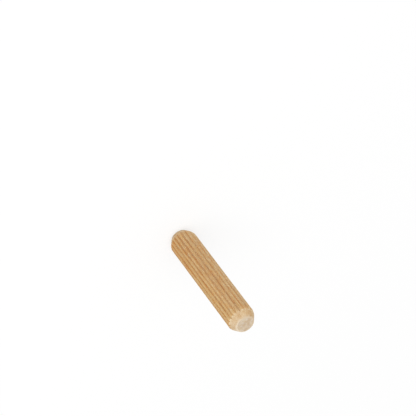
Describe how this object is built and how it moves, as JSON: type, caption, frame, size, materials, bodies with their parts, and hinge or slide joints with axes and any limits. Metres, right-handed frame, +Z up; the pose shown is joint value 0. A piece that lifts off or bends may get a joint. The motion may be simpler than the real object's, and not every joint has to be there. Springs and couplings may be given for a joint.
{
  "type": "dowel pin",
  "caption": "Straight fluted wooden dowel pin with chamfered ends, driven and glued into two drilled holes to align and join boards.",
  "frame": {"origin": "centre of the flat end that the pin stands on", "axes": "+Z up along the pin's axis, from the end it stands on to the free end; +X towards the middle of a groove"},
  "size_m": [0.008, 0.008, 0.04],
  "materials": {
    "wood": "bare pale hardwood, as machined"
  },
  "bodies": {
    "root": {"dowel_pin": "wood"}
  },
  "joints": []
}
